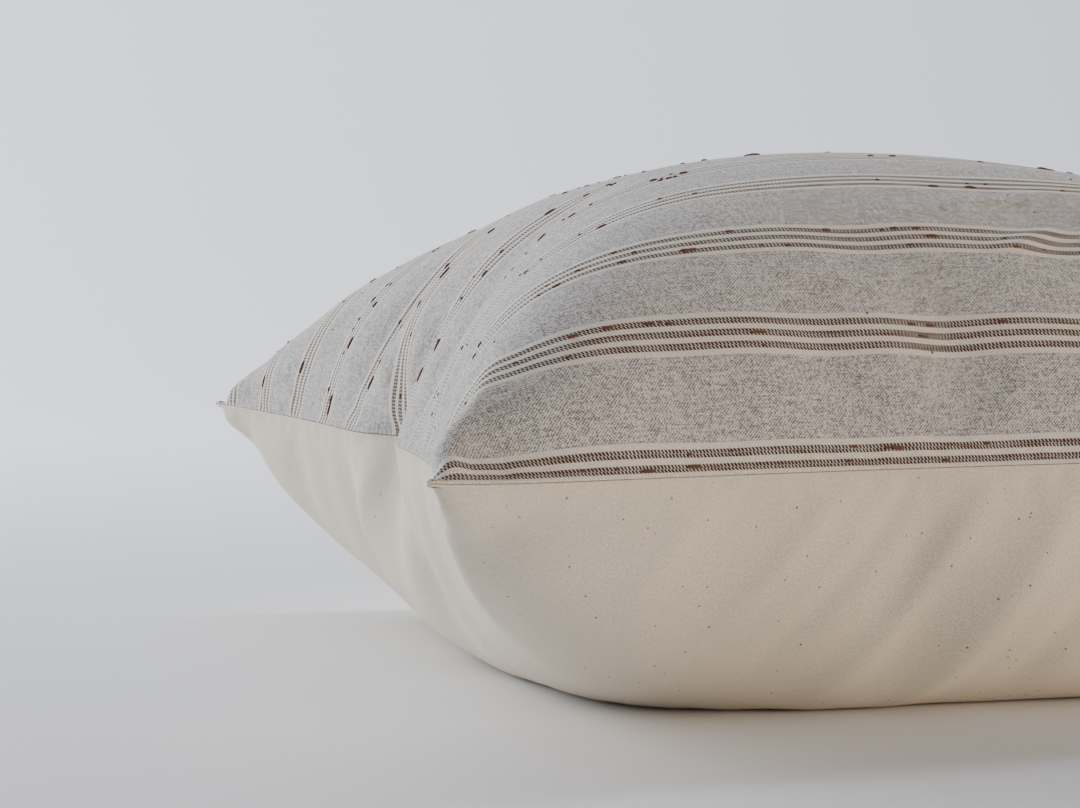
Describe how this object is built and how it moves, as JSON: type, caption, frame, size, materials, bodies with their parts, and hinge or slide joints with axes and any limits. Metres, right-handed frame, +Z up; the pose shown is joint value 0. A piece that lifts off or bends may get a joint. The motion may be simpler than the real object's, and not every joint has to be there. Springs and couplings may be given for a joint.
{
  "type": "throw pillow",
  "caption": "Square throw pillow with a woven striped front, a plain canvas back, knife-edge seams, a concealed zipper and a stuffed insert.",
  "frame": {"origin": "on the surface the pillow lies on, under the middle of the pillow", "axes": "+Z up through the striped front, +Y towards the zipper side, X along the stripes"},
  "size_m": [0.46, 0.46, 0.1919],
  "materials": {
    "striped_cloth": "matte",
    "canvas": "matte",
    "sewing_thread": "matte",
    "zipper_tape": "matte",
    "zipper_coil": "satin",
    "zipper_metal": "satin",
    "insert_cloth": "matte",
    "fibre_fill": "matte"
  },
  "bodies": {
    "pillow": {"front_panel": "striped_cloth", "back_panel": "canvas", "seam_thread_left": "sewing_thread", "seam_thread_front": "sewing_thread", "seam_thread_right": "sewing_thread", "overlock_left": "sewing_thread", "overlock_front": "sewing_thread", "overlock_right": "sewing_thread", "zipper_tape_front": "zipper_tape", "zipper_tape_back": "zipper_tape", "zipper_coil_front": "zipper_coil", "zipper_coil_back": "zipper_coil", "zipper_thread_front": "sewing_thread", "zipper_thread_back": "sewing_thread", "zipper_top_stop": "zipper_metal", "zipper_bottom_stop": "zipper_metal", "insert_case_front": "insert_cloth", "insert_case_back": "insert_cloth", "insert_fill": "fibre_fill", "insert_seam_thread": "sewing_thread"},
    "slider": {"zipper_slider": "zipper_metal"},
    "pull": {"zipper_pull": "zipper_metal"}
  },
  "joints": [
    {"name": "slider_travel", "type": "hinge", "parent": "pillow", "child": "slider", "pos_m": [0, 1.16064, 0.085], "axis": [0, 0, 1], "range_deg": [0, 18.91]},
    {"name": "pull_swing", "type": "hinge", "parent": "slider", "child": "pull", "pos_m": [-0.15701, 0.21799, 0.085], "axis": [0, 0, 1], "range_deg": [0, 175]}
  ]
}
